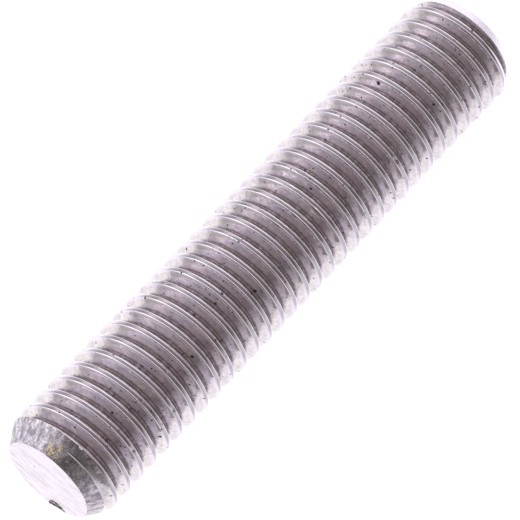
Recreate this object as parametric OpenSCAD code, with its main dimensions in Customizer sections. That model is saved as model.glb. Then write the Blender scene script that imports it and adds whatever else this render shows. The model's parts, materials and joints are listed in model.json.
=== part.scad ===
// Fully threaded rod: one steel bar with a rolled right-hand thread from end to end.
// It stands on its lower end face. Millimetres, +Z up along the rod, origin at the
// centre of the lower end face.

/* [Rod] */
// Length between the two end faces
rod_len = 50; // [20:0.5:60]
// Major diameter, over the crests of the thread
major_d = 9.85; // [8:0.05:12]

/* [Thread] */
// Pitch, the climb of the thread in one turn
pitch = 1.5; // [1.25:0.05:2]
// Included angle between the two flanks of a groove
flank_angle = 60; // [50:1:70]
// Width of the flat along the top of a crest
crest_flat = 0.22; // [0.1:0.01:0.4]
// Width of the flat at the bottom of a groove
root_flat = 0.26; // [0.1:0.01:0.4]
// Height above the lower end at which a crest passes the +X side
crest_start = 0.665; // [0:0.005:2]

/* [Ends] */
// Radial width of the chamfer on the upper end
top_chamfer_w = 1.15; // [0.6:0.01:1.8]
// Height of the chamfer on the upper end
top_chamfer_h = 1.8; // [0.6:0.05:2.5]
// Radial width of the chamfer on the lower end
bottom_chamfer_w = 0.92; // [0.6:0.01:1.8]
// Height of the chamfer on the lower end
bottom_chamfer_h = 1.6; // [0.6:0.05:2.5]

/* [Hidden] */

// Facets round one turn of the groove. The crests and chamfers are true curves.
turn_facets = 36;
major_r = major_d / 2;

// The groove in section. Its flanks run on above the crest flat, out of the bar, until
// they meet in a sharp ridge, so that the bar's own surface makes the crest.
flank_slope = tan(flank_angle / 2);
groove_depth = (pitch - crest_flat - root_flat) / 2 / flank_slope;
root_r = major_r - groove_depth;
ridge_r = major_r + crest_flat / 2 / flank_slope;

// One pitch of that section, upwards from a ridge: [height, radius]
section = [
    [0, ridge_r],
    [(pitch - root_flat) / 2, root_r],
    [(pitch + root_flat) / 2, root_r]
];
corners = len(section);

// The sweep starts below the lower end and stops above the upper end.
sweep_start = crest_start % pitch - 2 * pitch;
turns = floor((rod_len - sweep_start) / pitch) + 1;
column_top = turns * corners;

// Corner number n, counted upwards, in column number a round the rod
function corner(a, n) =
    let (
        angle = 360 * a / turn_facets,
        climb = pitch * (floor(n / corners) + a / turn_facets),
        p = section[n % corners]
    )
    [p[1] * cos(angle), p[1] * sin(angle), sweep_start + climb + p[0]];

// Where that corner is in the list of points. The column after the last is the first
// again, one turn higher, and this step is what makes the thread a helix.
function index(a, n) = a < turn_facets ? a * (column_top + 1) + n : n + corners;

// The bar before threading: a cylinder with a chamfer turned on each end
module blank() {
    rotate_extrude($fn = 4 * turn_facets)
        polygon([
            [0, 0],
            [major_r - bottom_chamfer_w, 0],
            [major_r, bottom_chamfer_h],
            [major_r, rod_len - top_chamfer_h],
            [major_r - top_chamfer_w, rod_len],
            [0, rod_len]
        ]);
}

// The helical ridge and groove, as one closed solid that is longer and wider than the bar
module helix() {
    last = turn_facets - 1;
    axis_low = turn_facets * (column_top + 1);
    axis_high = axis_low + 1;
    points = [
        for (a = [0:last]) for (n = [0:column_top]) corner(a, n),
        [0, 0, corner(0, 0)[2]],
        [0, 0, corner(last, column_top)[2]]
    ];
    flanks = [
        for (a = [0:last]) for (n = [0:column_top - 1 - (a < last ? 0 : corners)]) each [
            [index(a, n), index(a, n + 1), index(a + 1, n + 1)],
            [index(a, n), index(a + 1, n + 1), index(a + 1, n)]
        ]
    ];
    lower_cap = [
        for (a = [0:last]) [axis_low, index(a, 0), index(a + 1, 0)],
        for (n = [0:corners - 1]) [axis_low, index(0, n + 1), index(0, n)]
    ];
    upper_cap = [
        for (a = [0:last - 1]) [axis_high, index(a + 1, column_top), index(a, column_top)],
        [axis_high, index(0, column_top), index(last, column_top - corners)],
        for (n = [column_top - corners:column_top - 1]) [axis_high, index(last, n), index(last, n + 1)]
    ];
    polyhedron(points, concat(flanks, lower_cap, upper_cap));
}

module threaded_rod() {
    color("silver")
        intersection() {
            blank();
            helix();
        }
}

threaded_rod();
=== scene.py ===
"""A short length of zinc-plated threaded rod, standing on its lower end."""

import json
import math

import bmesh
import bpy
from mathutils import Matrix, Vector, noise


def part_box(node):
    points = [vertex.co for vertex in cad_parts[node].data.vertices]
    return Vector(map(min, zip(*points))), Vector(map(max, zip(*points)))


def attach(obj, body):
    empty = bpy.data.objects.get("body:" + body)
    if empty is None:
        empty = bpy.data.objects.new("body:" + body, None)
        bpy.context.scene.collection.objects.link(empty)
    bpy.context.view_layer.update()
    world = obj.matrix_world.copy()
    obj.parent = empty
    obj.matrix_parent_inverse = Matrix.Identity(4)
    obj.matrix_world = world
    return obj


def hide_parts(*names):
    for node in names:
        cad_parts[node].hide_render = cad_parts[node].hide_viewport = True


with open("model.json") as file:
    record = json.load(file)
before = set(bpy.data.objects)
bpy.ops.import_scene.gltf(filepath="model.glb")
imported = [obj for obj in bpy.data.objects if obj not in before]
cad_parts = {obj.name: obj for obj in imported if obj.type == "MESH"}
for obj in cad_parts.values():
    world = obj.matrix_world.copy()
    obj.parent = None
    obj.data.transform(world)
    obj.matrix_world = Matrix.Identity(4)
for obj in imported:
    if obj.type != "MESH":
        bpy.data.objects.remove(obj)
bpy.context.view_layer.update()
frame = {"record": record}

# ---------------------------------------------------------------- sizes, in metres
MM = 0.001
ROD = "threaded_rod"
rod_low, rod_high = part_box(ROD)
rod_bottom = rod_low.z
rod_top = rod_high.z
mounts = {mount["name"]: mount for mount in frame["record"]["mounts"]}
crest_r = mounts["thread"]["dims"]["r_mm"] * MM

# The thread, as in the part's source
PITCH = 1.5 * MM
CREST_START = 0.665 * MM       # height of the lowest crest on the +X side
FLANK_SLOPE = math.tan(math.radians(30))
TOP_CHAMFER = (1.15 * MM, 1.8 * MM)       # width across, height along the rod
BOTTOM_CHAMFER = (0.92 * MM, 1.6 * MM)

# The rolled form that the plain thread only stands for: a flat along each crest with a
# rounded lip on both sides of it, and a round root
LAND = 0.21 * MM               # width of the flat
LIP_R = 0.127 * MM
ROOT_R = 0.12 * MM

RUN_OUT = 0.41                 # share of its depth that the groove loses at the upper end
RUN_OUT_ZONE = (1.7 * MM, 0.95 * MM)      # how far below the end that starts, and is complete

STEPS = 150                    # columns in one turn
SPARE = 0.3 * MM               # how far the tapered blank reaches past what it cuts

# Crests are counted from the highest one at the front that lies this far below the end
COUNT_FROM = 1.5 * MM

# Wear on the lips: how deep they are uneven all over, and where they are frayed
UNEVEN = 0.012 * MM
FRAYED = 0.05 * MM

# Knocks on the crests: how many turns below the highest crest, degrees round from the
# front towards +X, width and depth in millimetres
KNOCKS = (
    (0, -2, 0.35, 0.12), (2, -38, 0.4, 0.16), (3, -54, 0.3, 0.1), (4, -13, 0.35, 0.1),
    (5, -39, 0.4, 0.14), (6, -11, 0.35, 0.1), (8, 7, 0.3, 0.08), (14, -17, 0.35, 0.1),
    (23, -29, 0.45, 0.15), (23, -43, 0.3, 0.1), (27, -58, 0.35, 0.1), (28, 19, 0.4, 0.14),
    (29, 3, 0.3, 0.08), (29, -11, 0.3, 0.1), (10, 52, 0.4, 0.1), (16, 100, 0.5, 0.15),
    (7, 140, 0.4, 0.14), (12, -120, 0.45, 0.15), (21, 165, 0.4, 0.12), (25, -150, 0.5, 0.16),
    (19, -100, 0.35, 0.12), (3, 110, 0.4, 0.14), (30, 120, 0.4, 0.12), (9, -165, 0.35, 0.1),
)
# A stretch whose lips are frayed, in turns below the highest
FRAYED_TURNS = (15.6, 19.4)
# A chip out of the upper rim: degrees round, then how far out and how far above the end face
# the middle of the round cutter lies, and the cutter's radius
CHIP = (212, 3.62 * MM, 3.04 * MM, 3.15 * MM)
# Where the upper cone has brassy flecks: degrees round, and depth below the end
BRASSY = (17, 0.65 * MM)

# The rod's finishes, in the order of its material slots
THREAD, TURNED, SAWN, TORN = range(4)


# ---------------------------------------------------------------- modelling helpers
def deselect_all():
    if bpy.context.object and bpy.context.object.mode != "OBJECT":
        bpy.ops.object.mode_set(mode="OBJECT")
    bpy.ops.object.select_all(action="DESELECT")


def activate(obj):
    deselect_all()
    obj.select_set(True)
    bpy.context.view_layer.objects.active = obj


def edit(obj):
    activate(obj)
    bpy.ops.object.mode_set(mode="EDIT")


def object_mode():
    bpy.ops.object.mode_set(mode="OBJECT")


def apply_all_modifiers(obj):
    activate(obj)
    for modifier in list(obj.modifiers):
        bpy.ops.object.modifier_apply(modifier=modifier.name)


def freeze(obj):
    activate(obj)
    bpy.ops.object.transform_apply(location=True, rotation=True, scale=True)


def smooth_step(value, low, high):
    share = min(max((value - low) / (high - low), 0), 1)
    return share * share * (3 - 2 * share)


def towards(azimuth, elevation):
    """A direction, by degrees round from the front towards +X and degrees up."""
    around, up = math.radians(azimuth), math.radians(elevation)
    flat = math.cos(up)
    return (flat * math.sin(around), -flat * math.cos(around), math.sin(up))


# ---------------------------------------------------------------- the thread
def thread_section():
    """One pitch of the thread from crest to crest, as (radius, height) points."""
    half = [(0, 0), (0, LAND / 2)]
    for angle in (20, 40, 60):
        turn = math.radians(angle)
        half.append((LIP_R - LIP_R * math.cos(turn), LAND / 2 + LIP_R * math.sin(turn)))
    flank_top = half[-1]
    flank_height = PITCH / 2 - ROOT_R * math.sin(turn) - flank_top[1]
    root_centre = flank_top[0] + flank_height / FLANK_SLOPE - ROOT_R * math.cos(turn)
    for angle in (60, 40, 20, 0):
        turn = math.radians(angle)
        half.append((root_centre + ROOT_R * math.cos(turn), PITCH / 2 - ROOT_R * math.sin(turn)))
    whole = half + [(depth, PITCH - height) for depth, height in reversed(half[:-1])]
    return [(crest_r - depth, height) for depth, height in whole]


def draw_line(name, points):
    """A line drawn by extruding one vertex from point to point."""
    deselect_all()
    bpy.ops.mesh.primitive_plane_add(size=MM, location=points[0])
    line = bpy.context.object
    line.name = name
    freeze(line)
    edit(line)
    bpy.ops.mesh.select_all(action="SELECT")
    bpy.ops.mesh.merge(type="CENTER")
    for before, after in zip(points, points[1:]):
        step = Vector(after) - Vector(before)
        bpy.ops.mesh.extrude_region_move(TRANSFORM_OT_translate={"value": step})
    object_mode()
    return line


def wind_thread():
    """The thread wound round the rod's axis, from a turn below the rod to a turn above it."""
    start = CREST_START % PITCH - 2 * PITCH
    turns = math.floor((rod_top - start) / PITCH) + 1
    points = [(radius, 0, start + height) for radius, height in thread_section()]
    thread = draw_line("threaded_bar", points)
    screw = thread.modifiers.new("wind", "SCREW")
    screw.axis = "Z"
    screw.angle = math.tau
    screw.screw_offset = PITCH
    screw.iterations = turns
    screw.steps = screw.render_steps = STEPS
    apply_all_modifiers(thread)
    edit(thread)
    bpy.ops.mesh.select_all(action="SELECT")
    bpy.ops.mesh.remove_doubles(threshold=0.001 * MM)
    object_mode()
    return thread


def crest_height(turns_down, degrees=0):
    """Height of a crest's middle, counted in turns down from the highest one at the front."""
    lowest = CREST_START - PITCH / 4
    highest = lowest + PITCH * math.floor((rod_top - COUNT_FROM - lowest) / PITCH)
    return highest + PITCH * (degrees / 360 - turns_down)


def wear_crests(bar):
    """Uneven lips all over, the frayed stretch, and the knocks."""
    dents = []
    for turns_down, degrees, width, depth in KNOCKS:
        place = Vector(towards(degrees, 0)) * crest_r
        place.z = crest_height(turns_down, degrees)
        dents.append((place, width * MM / 2, depth * MM))
    frayed_top, frayed_foot = (crest_height(turns_down) for turns_down in FRAYED_TURNS)
    for vertex in bar.data.vertices:
        radius = math.hypot(vertex.co.x, vertex.co.y)
        lip = smooth_step(radius, crest_r - 0.2 * MM, crest_r - 0.02 * MM)
        if lip == 0:
            continue
        place = vertex.co / MM
        uneven = 0.5 + 0.5 * noise.noise(place * 1.1) + 0.5 * noise.noise(place * 3.3)
        sink = UNEVEN * max(uneven, 0)
        frayed = smooth_step(vertex.co.z, frayed_foot, frayed_foot + 0.5 * MM)
        frayed *= 1 - smooth_step(vertex.co.z, frayed_top - 0.5 * MM, frayed_top)
        sink += FRAYED * frayed * max(noise.noise(place * 4.5), 0)
        for centre, reach, depth in dents:
            away = (vertex.co - centre).length / reach
            if away < 1:
                sink += depth * (1 - away * away) ** 2
        squeeze = 1 - min(sink * lip, 0.3 * MM) / radius
        vertex.co.x *= squeeze
        vertex.co.y *= squeeze


def fade_out(bar):
    """Makes the groove shallower towards the upper end, where the rolls ran out."""
    starts, complete = (rod_top - below for below in RUN_OUT_ZONE)
    for vertex in bar.data.vertices:
        radius = math.hypot(vertex.co.x, vertex.co.y)
        fade = smooth_step(vertex.co.z, starts, complete)
        swell = 1 + RUN_OUT * fade * (crest_r - radius) / radius
        vertex.co.x *= swell
        vertex.co.y *= swell


def cut_to_length(bar):
    """Saws the bar off square at both ends and fills the cuts."""
    edit(bar)
    for height, inner, outer in ((rod_bottom, True, False), (rod_top, False, True)):
        bpy.ops.mesh.select_all(action="SELECT")
        bpy.ops.mesh.bisect(
            plane_co=(0, 0, height), plane_no=(0, 0, 1), use_fill=True,
            clear_inner=inner, clear_outer=outer, threshold=0.0001 * MM)
    bpy.ops.mesh.select_all(action="SELECT")
    bpy.ops.mesh.normals_make_consistent(inside=False)
    object_mode()


def turned_blank():
    """A plain bar, wider than the thread, that tapers at both ends as the chamfers do."""
    wide = crest_r + SPARE
    (top_w, top_h), (bottom_w, bottom_h) = TOP_CHAMFER, BOTTOM_CHAMFER
    top_shoulder = rod_top - top_h - SPARE * top_h / top_w
    bottom_shoulder = rod_bottom + bottom_h + SPARE * bottom_h / bottom_w
    deselect_all()
    bpy.ops.mesh.primitive_cylinder_add(
        vertices=STEPS, radius=wide, depth=top_shoulder - bottom_shoulder,
        location=(0, 0, (top_shoulder + bottom_shoulder) / 2), end_fill_type="NGON")
    blank = bpy.context.object
    blank.name = "turned_blank"
    freeze(blank)
    edit(blank)
    bpy.ops.mesh.select_mode(type="FACE")
    ends = (
        (1, rod_top + SPARE - top_shoulder, crest_r - top_w - SPARE * top_w / top_h),
        (-1, rod_bottom - SPARE - bottom_shoulder, crest_r - bottom_w - SPARE * bottom_w / bottom_h),
    )
    for side, reach, radius in ends:
        mesh = bmesh.from_edit_mesh(blank.data)
        for face in mesh.faces:
            face.select_set(face.normal.z * side > 0.9)
        bmesh.update_edit_mesh(blank.data)
        bpy.ops.mesh.extrude_region_move(TRANSFORM_OT_translate={"value": (0, 0, reach)})
        bpy.ops.transform.resize(value=(radius / wide, radius / wide, 1))
    object_mode()
    return blank


def chamfer(bar):
    """Cuts both chamfers by keeping what the bar shares with the tapered blank."""
    blank = turned_blank()
    cut = bar.modifiers.new("chamfer", "BOOLEAN")
    cut.operation = "INTERSECT"
    cut.solver = "EXACT"
    cut.object = blank
    apply_all_modifiers(bar)
    bpy.data.objects.remove(blank)


def chip_centre():
    degrees, outward, upward, _ = CHIP
    return Vector(towards(degrees, 0)) * outward + Vector((0, 0, rod_top + upward))


def chip_rim(bar):
    """Takes the chip out of the upper rim with a round cutter."""
    deselect_all()
    bpy.ops.mesh.primitive_ico_sphere_add(subdivisions=5, radius=CHIP[3], location=chip_centre())
    cutter = bpy.context.object
    cut = bar.modifiers.new("chip", "BOOLEAN")
    cut.operation = "DIFFERENCE"
    cut.solver = "EXACT"
    cut.object = cutter
    apply_all_modifiers(bar)
    bpy.data.objects.remove(cutter)


def on_chamfer(point, normal):
    """Whether a face belongs to one of the two turned cones, by its place and its lean."""
    radius = math.hypot(point.x, point.y)
    for side, end, (wide, high) in ((1, rod_top, TOP_CHAMFER), (-1, rod_bottom, BOTTOM_CHAMFER)):
        below = (end - point.z) * side
        cone_r = crest_r - wide + below * wide / high
        lean = math.sin(math.atan2(wide, high)) * side
        if below < high and abs(radius - cone_r) < 0.012 * MM and abs(normal.z - lean) < 0.05:
            return True
    return False


def share_out_finishes(bar, thread, turned, sawn, torn):
    """Thread, chamfers, end faces and the chip each take their own finish."""
    bar.data.materials.clear()
    for material in (thread, turned, sawn, torn):
        bar.data.materials.append(material)
    chip = chip_centre()
    for face in bar.data.polygons:
        if abs((face.center - chip).length - CHIP[3]) < 0.02 * MM:
            face.material_index = TORN
        elif abs(face.normal.z) > 0.99:
            face.material_index = SAWN
        elif on_chamfer(face.center, face.normal):
            face.material_index = TURNED
        else:
            face.material_index = THREAD


def make_rod():
    bar = wind_thread()
    fade_out(bar)
    wear_crests(bar)
    cut_to_length(bar)
    chamfer(bar)
    chip_rim(bar)
    return bar


rod = make_rod()


# ---------------------------------------------------------------- material helpers
def node(tree, kind, inputs=None, **settings):
    """Adds a node. An input is given a value, or a socket to link from."""
    made = tree.nodes.new("ShaderNode" + kind)
    for name, value in settings.items():
        setattr(made, name, value)
    for name, value in (inputs or {}).items():
        if isinstance(value, bpy.types.NodeSocket):
            tree.links.new(value, made.inputs[name])
        else:
            made.inputs[name].default_value = value
    return made


def maths(tree, operation, *values):
    return node(tree, "Math", dict(enumerate(values)), operation=operation).outputs[0]


def ramp(tree, value, low, high):
    """0 below low, 1 above high, and smooth between; low may be the greater."""
    made = node(tree, "MapRange", {"Value": value, "From Min": low, "From Max": high})
    made.interpolation_type = "SMOOTHSTEP"
    return made.outputs["Result"]


def blend(tree, factor, first, second):
    """Mixes two colours."""
    made = node(tree, "Mix", data_type="RGBA")
    for name, value in (("Factor", factor), ("A", first), ("B", second)):
        socket = next(s for s in made.inputs if s.name == name and s.enabled)
        if isinstance(value, bpy.types.NodeSocket):
            tree.links.new(value, socket)
        elif name == "Factor":
            socket.default_value = value
        else:
            socket.default_value = (*value, 1)
    return next(s for s in made.outputs if s.enabled)


def blend_value(tree, factor, first, second):
    """Mixes two numbers."""
    return node(tree, "Mix", {"Factor": factor, "A": first, "B": second}).outputs["Result"]


def new_group(name, inputs, outputs):
    """An empty effect with its named inputs and outputs."""
    tree = bpy.data.node_groups.new(name, "ShaderNodeTree")
    for label, kind, value in inputs:
        socket = tree.interface.new_socket(label, in_out="INPUT", socket_type="NodeSocket" + kind)
        if value is not None:
            socket.default_value = value
    for label, kind in outputs:
        tree.interface.new_socket(label, in_out="OUTPUT", socket_type="NodeSocket" + kind)
    return tree, tree.nodes.new("NodeGroupInput").outputs, tree.nodes.new("NodeGroupOutput").inputs


def place_in_mm(tree):
    spot = node(tree, "TexCoord").outputs["Object"]
    return node(tree, "VectorMath", {0: spot, "Scale": 1 / MM}, operation="SCALE").outputs[0]


def use(tree, group, **inputs):
    """Puts an effect into a material, with this material's own values."""
    made = tree.nodes.new("ShaderNodeGroup")
    made.node_tree = group
    for name, value in inputs.items():
        socket = made.inputs[name.replace("_", " ")]
        if isinstance(value, bpy.types.NodeSocket):
            tree.links.new(value, socket)
        else:
            socket.default_value = value
    return made.outputs


# ---------------------------------------------------------------- effects shared by the finishes
def thread_place_group():
    """How deep below the crests a spot lies, in millimetres, and how far it faces up."""
    tree, _, out = new_group("thread_place", (), (("Depth", "Float"), ("Facing Up", "Float")))
    spot = node(tree, "SeparateXYZ", {0: place_in_mm(tree)}).outputs
    across = maths(tree, "ADD", maths(tree, "POWER", spot[0], 2), maths(tree, "POWER", spot[1], 2))
    tree.links.new(maths(tree, "SUBTRACT", crest_r / MM, maths(tree, "SQRT", across)), out["Depth"])
    facing = node(tree, "SeparateXYZ", {0: node(tree, "TexCoord").outputs["Normal"]}).outputs[2]
    tree.links.new(facing, out["Facing Up"])
    return tree


def blotches_group():
    """Soft patches drawn out along the thread, from 0 to 1."""
    tree, given, out = new_group(
        "blotches", (("Size", "Float", 1.0), ("Contrast", "Float", 1.0)), (("Tone", "Float"),))
    drawn = node(tree, "Mapping", {"Vector": place_in_mm(tree), "Scale": (1, 1, 2.5)})
    spot = drawn.outputs[0]
    fine = maths(tree, "DIVIDE", 1, given["Size"])
    large = node(tree, "TexNoise", {"Vector": spot, "Scale": fine, "Detail": 3, "Roughness": 0.55})
    spread = maths(tree, "MULTIPLY", maths(tree, "SUBTRACT", large.outputs[0], 0.5), given["Contrast"])
    tone = maths(tree, "ADD", maths(tree, "MULTIPLY", spread, 3), 0.5)
    made = node(tree, "Clamp", {"Value": tone})
    tree.links.new(made.outputs[0], out["Tone"])
    return tree


def specks_group():
    """Small separate dots: their spacing and size in millimetres, and the share that shows."""
    tree, given, out = new_group(
        "specks", (("Spacing", "Float", 1.0), ("Size", "Float", 0.1), ("Share", "Float", 0.3)),
        (("Mask", "Float"),))
    spot = place_in_mm(tree)
    ragged = node(tree, "TexNoise", {"Vector": spot, "Scale": 9, "Detail": 2})
    shift = node(tree, "VectorMath", {0: ragged.outputs["Color"], "Scale": 0.12}, operation="SCALE")
    moved = node(tree, "VectorMath", {0: spot, 1: shift.outputs[0]}, operation="ADD")
    cells = node(tree, "TexVoronoi", {
        "Vector": moved.outputs[0], "Scale": maths(tree, "DIVIDE", 1, given["Spacing"])})
    lot = node(tree, "SeparateColor", {0: cells.outputs["Color"]}).outputs
    reach = maths(tree, "MULTIPLY", given["Size"], maths(tree, "ADD", 0.5, lot[1]))
    away = maths(tree, "MULTIPLY", cells.outputs["Distance"], given["Spacing"])
    dot = ramp(tree, maths(tree, "DIVIDE", away, reach), 1.0, 0.6)
    shown = maths(tree, "LESS_THAN", lot[0], given["Share"])
    tree.links.new(maths(tree, "MULTIPLY", dot, shown), out["Mask"])
    return tree


def shade_and_grime_group():
    """Painted shade together with dirt: it gathers where Place is high and breaks up into patches at its
    edge.
    """
    tree, given, out = new_group(
        "shade_and_grime", (("Place", "Float", 0.0), ("Patch Size", "Float", 0.6), ("Breakup", "Float", 0.5)),
        (("Cover", "Float"),))
    fine = maths(tree, "DIVIDE", 1, given["Patch Size"])
    patches = node(tree, "TexNoise", {
        "Vector": place_in_mm(tree), "Scale": fine, "Detail": 4, "Roughness": 0.6})
    swing = maths(tree, "MULTIPLY", maths(tree, "SUBTRACT", patches.outputs[0], 0.5), given["Breakup"])
    cover = maths(tree, "ADD", given["Place"], maths(tree, "MULTIPLY", swing, 4))
    cover = maths(tree, "MULTIPLY", cover, ramp(tree, given["Place"], 0.0, 0.25))
    tree.links.new(node(tree, "Clamp", {"Value": cover}).outputs[0], out["Cover"])
    return tree


def tool_lines_group():
    """Fine lines that a tool leaves: straight across an end face, or down a cone."""
    tree, given, out = new_group(
        "tool_lines", (("Vector", "Vector", None), ("Fineness", "Float", 1.0)),
        (("Height", "Float"), ("Streaks", "Float")))
    fine = node(tree, "TexNoise", {
        "Vector": given["Vector"], "Scale": given["Fineness"], "Detail": 4, "Roughness": 0.7})
    broad = node(tree, "TexNoise", {
        "Vector": given["Vector"], "Scale": maths(tree, "MULTIPLY", given["Fineness"], 0.3),
        "Detail": 2})
    tree.links.new(fine.outputs[0], out["Height"])
    both = maths(tree, "MULTIPLY", fine.outputs[0], broad.outputs[0])
    tree.links.new(ramp(tree, both, 0.14, 0.4), out["Streaks"])
    return tree


thread_place = thread_place_group()
blotches = blotches_group()
specks = specks_group()
shade_and_grime = shade_and_grime_group()
tool_lines = tool_lines_group()


# ---------------------------------------------------------------- finishes
CLEAN_ZINC = (0.90, 0.84, 0.96)
SEAM_GREY = (0.51, 0.47, 0.52)           # along the flat of a crest, where the rolled metal met
OLIVE_ZINC = (0.89, 0.84, 0.84)          # these three mingle on the upper flanks
VIOLET_ZINC = (0.78, 0.72, 0.79)
DULL_ZINC = (0.54, 0.495, 0.49)
# dark colour deep in the root: painted shade there, together with dirt
ROOT_SHADE_AND_GRIME = (0.29, 0.245, 0.25)
CUT_DARK = (0.34, 0.315, 0.36)           # low and high parts of the tool lines on a cone
CUT_BRIGHT = (0.97, 0.90, 1.0)
SCRATCH = (0.42, 0.39, 0.47)             # scratches on an end face, and the face between them
SAWN_BRIGHT = (0.875, 0.835, 0.93)
TORN_DARK = (0.05, 0.05, 0.055)
TORN_BRIGHT = (0.55, 0.54, 0.55)
BRASS = (1.0, 0.80, 0.42)
SPECK = (0.035, 0.03, 0.04)


def new_finish(name):
    material = bpy.data.materials.new(name)
    material.use_nodes = True
    tree = material.node_tree
    return material, tree, tree.nodes["Principled BSDF"]


def bump(tree, shader, height, depth):
    made = node(tree, "Bump", {"Height": height, "Strength": 1.0, "Distance": depth})
    tree.links.new(made.outputs[0], shader.inputs["Normal"])


def rolled_zinc():
    """The thread: bright plating with a thin tinted film, a seam on the crests, painted shade and grime
    in the root.
    """
    material, tree, shader = new_finish("rolled_zinc")
    place = use(tree, thread_place)
    past_lip = ramp(tree, place["Depth"], 0.02, 0.3)
    upper_flank = maths(tree, "MULTIPLY", past_lip, ramp(tree, place["Facing Up"], 0.0, 0.5))
    tone = use(tree, blotches, Size=1.0, Contrast=1.5)["Tone"]
    shade = use(tree, blotches, Size=0.42, Contrast=1.0)["Tone"]
    flank_colour = blend(tree, tone, VIOLET_ZINC, OLIVE_ZINC)
    flank_colour = blend(tree, maths(tree, "MULTIPLY", shade, 0.55), flank_colour, DULL_ZINC)
    colour = blend(tree, upper_flank, CLEAN_ZINC, flank_colour)
    level = ramp(tree, maths(tree, "ABSOLUTE", place["Facing Up"]), 0.3, 0.1)
    seam = maths(tree, "MULTIPLY", level, ramp(tree, place["Depth"], 0.15, 0.06))
    colour = blend(tree, seam, colour, SEAM_GREY)
    # Deep in the root the colour goes dark: painted shade, together with dirt in the groove
    low = ramp(tree, place["Depth"], 0.56, 0.88)
    root_shade_and_grime = use(tree, shade_and_grime, Place=low, Patch_Size=0.35, Breakup=0.4)
    colour = blend(tree, root_shade_and_grime["Cover"], colour, ROOT_SHADE_AND_GRIME)
    small_dots = use(tree, specks, Spacing=0.55, Size=0.075, Share=0.8)["Mask"]
    large_dots = use(tree, specks, Spacing=1.9, Size=0.15, Share=0.5)["Mask"]
    dots = maths(tree, "MAXIMUM", small_dots, large_dots)
    colour = blend(tree, dots, colour, SPECK)
    tree.links.new(colour, shader.inputs["Base Color"])
    tree.links.new(blend_value(tree, dots, 1.0, 0.3), shader.inputs["Metallic"])
    rough = maths(tree, "ADD", 0.1, maths(tree, "MULTIPLY", tone, 0.05))
    tree.links.new(blend_value(tree, root_shade_and_grime["Cover"], rough, 0.5), shader.inputs["Roughness"])
    grain = node(tree, "TexNoise", {"Vector": place_in_mm(tree), "Scale": 3.5, "Detail": 4})
    bump(tree, shader, grain.outputs[0], 0.012 * MM)
    return material


def turned_zinc():
    """The cones: fine lines down the slope, cleaner at the lower end, brassy flecks on the upper."""
    material, tree, shader = new_finish("turned_zinc")
    spot = node(tree, "SeparateXYZ", {0: place_in_mm(tree)}).outputs
    round_way = node(tree, "CombineXYZ", {
        0: spot[0], 1: spot[1], 2: maths(tree, "MULTIPLY", spot[2], 0.12)}).outputs[0]
    lines = use(tree, tool_lines, Vector=round_way, Fineness=8.0)
    colour = blend(tree, lines["Streaks"], CUT_DARK, CUT_BRIGHT)
    lower_cone = ramp(tree, spot[2], 10, 5)
    colour = blend(tree, lower_cone, colour, CLEAN_ZINC)
    degrees, below = BRASSY
    fleck_r = crest_r - TOP_CHAMFER[0] + below * TOP_CHAMFER[0] / TOP_CHAMFER[1]
    fleck_place = Vector(towards(degrees, 0)) * fleck_r + Vector((0, 0, rod_top - below))
    away = node(tree, "VectorMath", {0: place_in_mm(tree), 1: tuple(fleck_place / MM)},
                operation="DISTANCE").outputs["Value"]
    grain = node(tree, "TexNoise", {"Vector": place_in_mm(tree), "Scale": 5.0, "Detail": 2})
    flecks = ramp(tree, grain.outputs[0], 0.5, 0.58)
    brassy = maths(tree, "MULTIPLY", ramp(tree, away, 0.9, 0.35), flecks)
    colour = blend(tree, brassy, colour, BRASS)
    dots = use(tree, specks, Spacing=0.7, Size=0.09, Share=0.3)["Mask"]
    colour = blend(tree, dots, colour, SPECK)
    tree.links.new(colour, shader.inputs["Base Color"])
    tree.links.new(blend_value(tree, brassy, 1.0, 0.3), shader.inputs["Metallic"])
    tree.links.new(blend_value(tree, lines["Streaks"], 0.24, 0.16), shader.inputs["Roughness"])
    bump(tree, shader, lines["Height"], 0.03 * MM)
    return material


def sawn_zinc():
    """The end faces: long fine scratches one way, and a few dots."""
    material, tree, shader = new_finish("sawn_zinc")
    saw_way = node(tree, "Mapping", {
        "Vector": place_in_mm(tree), "Rotation": (0, 0, math.radians(-42)), "Scale": (0.06, 1, 1)})
    lines = use(tree, tool_lines, Vector=saw_way.outputs[0], Fineness=8.0)
    clean = ramp(tree, lines["Height"], 0.38, 0.47)
    colour = blend(tree, clean, SCRATCH, SAWN_BRIGHT)
    dots = use(tree, specks, Spacing=1.0, Size=0.09, Share=0.6)["Mask"]
    colour = blend(tree, dots, colour, SPECK)
    tree.links.new(colour, shader.inputs["Base Color"])
    shader.inputs["Metallic"].default_value = 1
    shader.inputs["Roughness"].default_value = 0.3
    bump(tree, shader, lines["Height"], 0.02 * MM)
    return material


def torn_steel():
    """Bare, dark and grainy metal in the chip."""
    material, tree, shader = new_finish("torn_steel")
    grain = node(tree, "TexNoise", {"Vector": place_in_mm(tree), "Scale": 5.0, "Detail": 4})
    bright = ramp(tree, grain.outputs[0], 0.4, 0.62)
    tree.links.new(blend(tree, bright, TORN_DARK, TORN_BRIGHT), shader.inputs["Base Color"])
    shader.inputs["Metallic"].default_value = 1
    tree.links.new(blend_value(tree, bright, 0.7, 0.4), shader.inputs["Roughness"])
    bump(tree, shader, grain.outputs[0], 0.1 * MM)
    return material


def sharpen_borders(bar):
    """Marks a sharp edge all round each finish, so that the cones and ends shade as cut surfaces."""
    edit(bar)
    bpy.ops.mesh.select_mode(type="FACE")
    for slot in (TURNED, SAWN, TORN):
        bpy.ops.mesh.select_all(action="DESELECT")
        bar.active_material_index = slot
        bpy.ops.object.material_slot_select()
        bpy.ops.mesh.region_to_loop()
        bpy.ops.mesh.mark_sharp()
        bpy.ops.mesh.select_mode(type="FACE")
    object_mode()


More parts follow.
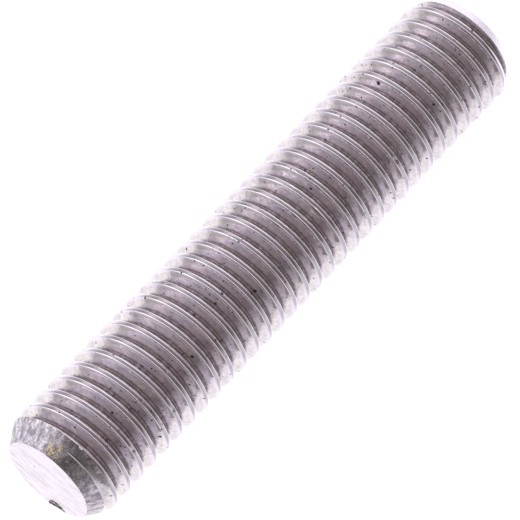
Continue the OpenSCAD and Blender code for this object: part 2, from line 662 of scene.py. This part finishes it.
share_out_finishes(rod, rolled_zinc(), turned_zinc(), sawn_zinc(), torn_steel())
sharpen_borders(rod)
activate(rod)
bpy.ops.object.shade_smooth_by_angle(angle=math.radians(50))
flat_flanks = rod.modifiers.new("flat_flanks", "WEIGHTED_NORMAL")
flat_flanks.keep_sharp = True
apply_all_modifiers(rod)

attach(rod, "root")
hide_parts(ROD)


# ---------------------------------------------------------------- floor, light and camera
def make_floor():
    """White paper. It takes the rod's shadow, and the rod mirrors the light tent instead of it."""
    deselect_all()
    bpy.ops.mesh.primitive_plane_add(size=4, location=(0, 0, rod_bottom))
    floor = bpy.context.object
    floor.name = "floor"
    floor.visible_glossy = False
    material = bpy.data.materials.new("white_paper")
    material.use_nodes = True
    tree = material.node_tree
    tree.nodes.clear()
    rays = node(tree, "LightPath")
    paper = node(tree, "BsdfDiffuse", {"Color": (0.8, 0.8, 0.8, 1)})
    shade = node(tree, "BsdfDiffuse", {"Color": (0.7, 0.7, 0.7, 1)})
    glow = node(tree, "Emission", {"Strength": 0.72})
    lit = node(tree, "AddShader", {0: shade.outputs[0], 1: glow.outputs[0]})
    mix = node(tree, "MixShader", {
        0: rays.outputs["Is Camera Ray"], 1: paper.outputs[0], 2: lit.outputs[0]})
    node(tree, "OutputMaterial", {"Surface": mix.outputs[0]})
    floor.data.materials.append(material)


# Soft lamps behind the cloth: degrees round, degrees up, strength, sharpness
COOL_LAMPS = (
    (50, -55, 1.25, 8), (-84, -25, 0.8, 25), (72, -22, 0.35, 30), (128, -22, 0.75, 30),
    (78, 35, 0.9, 8), (115, 24, 0.3, 14), (-85, 30, 0.3, 10), (38, -12, 0.14, 10),
)
WARM_LAMPS = ((180, 58, 1.1, 11), (-15, -29, 0.24, 4), (72, -22, 0.5, 30))
COOL = (0.98, 0.97, 1.0, 1)
WARM = (1.0, 0.88, 0.81, 1)
WARM_REST = 0.07               # what the dim cloth gives everywhere


def lamps(tree, way, level, places):
    """Adds soft round lamps to a level of light."""
    for azimuth, elevation, strength, sharpness in places:
        facing = node(tree, "VectorMath", {0: way, 1: towards(azimuth, elevation)},
                      operation="DOT_PRODUCT").outputs["Value"]
        fall = maths(tree, "MULTIPLY", maths(tree, "SUBTRACT", facing, 1), sharpness)
        glow = maths(tree, "MULTIPLY", maths(tree, "EXPONENT", fall), strength)
        level = maths(tree, "ADD", level, glow)
    return level


def make_light_tent():
    """White cloth behind, beside and below the rod; in front a paler strip over dim warm cloth."""
    world = bpy.data.worlds.new("light_tent")
    bpy.context.scene.world = world
    world.use_nodes = True
    tree = world.node_tree
    tree.nodes.clear()
    way = node(tree, "TexCoord").outputs["Generated"]
    part = node(tree, "SeparateXYZ", {0: way}).outputs

    # The walls are white behind and dimmer beside, and end about 40 degrees up
    behind = ramp(tree, part[1], 0.35, 0.8)
    beside = maths(tree, "SUBTRACT", ramp(tree, part[1], -0.2, 0.3), behind)
    left_or_right = blend_value(tree, ramp(tree, part[0], -0.2, 0.2), 0.6, 0.3)
    wall = maths(tree, "ADD", behind, maths(tree, "MULTIPLY", beside, left_or_right))
    wall = maths(tree, "MULTIPLY", wall, ramp(tree, part[2], 0.665, 0.60))

    # Below, the cloth covers the table and the foot of the back wall
    low_wall = maths(tree, "MULTIPLY", ramp(tree, part[1], -0.1, 0.3), ramp(tree, part[2], -0.05, -0.4))
    table = maths(tree, "MULTIPLY", ramp(tree, part[2], -0.55, -0.9), 0.25)
    table = maths(tree, "ADD", table, maths(tree, "MULTIPLY", low_wall, 0.35))

    # The strip in front is a level band, a little brighter on the right
    strip = maths(tree, "MULTIPLY", ramp(tree, part[2], -0.15, 0.12), ramp(tree, part[2], 0.56, 0.32))
    strip = maths(tree, "MULTIPLY", strip, ramp(tree, part[1], 0.2, -0.2))
    strip = maths(tree, "MULTIPLY", strip, blend_value(tree, ramp(tree, part[0], -1.0, 0.1), 0.75, 1.15))
    pale_strip = maths(tree, "MULTIPLY", strip, 0.7)

    cloth = maths(tree, "ADD", maths(tree, "ADD", wall, table), pale_strip)
    cloth = lamps(tree, way, cloth, COOL_LAMPS)
    warm_strip = maths(tree, "SUBTRACT", strip, pale_strip)
    dim = lamps(tree, way, maths(tree, "ADD", warm_strip, WARM_REST), WARM_LAMPS)
    white = node(tree, "Background", {"Strength": cloth, "Color": COOL})
    warm = node(tree, "Background", {"Strength": dim, "Color": WARM})
    tent = node(tree, "AddShader", {0: white.outputs[0], 1: warm.outputs[0]})
    backdrop = node(tree, "Background", {"Strength": 1.0, "Color": (1, 1, 1, 1)})
    rays = node(tree, "LightPath")
    mix = node(tree, "MixShader", {
        0: rays.outputs["Is Camera Ray"], 1: tent.outputs[0], 2: backdrop.outputs[0]})
    node(tree, "OutputWorld", {"Surface": mix.outputs[0]})


def make_camera():
    """Looks at the rod's upper end and front from well away, with the rod lying across the frame."""
    tilt = math.radians(67.12)          # between the line of sight and the rod
    roll = math.radians(46.53)          # of the rod's image above the horizontal
    distance = 397.1 * MM
    target = Vector((0, 0, 26.45 * MM))
    slide_along, slide_across = 0.8535 * MM, -0.1856 * MM      # of the camera past the target
    along = Vector((0, -math.cos(tilt), -math.sin(tilt)))
    across = Vector((1, 0, 0))
    back = Vector((0, -math.sin(tilt), math.cos(tilt)))
    right = math.cos(roll) * along - math.sin(roll) * across
    up = math.sin(roll) * along + math.cos(roll) * across
    place = target + slide_along * along + slide_across * across + distance * back
    data = bpy.data.cameras.new("camera")
    data.sensor_width = 36
    data.lens = 363.8
    camera = bpy.data.objects.new("camera", data)
    bpy.context.scene.collection.objects.link(camera)
    axes = Matrix((right, up, back)).transposed()
    camera.matrix_world = Matrix.Translation(place) @ axes.to_4x4()
    bpy.context.scene.camera = camera


make_floor()
make_light_tent()
make_camera()
bpy.context.scene.view_settings.view_transform = "Standard"
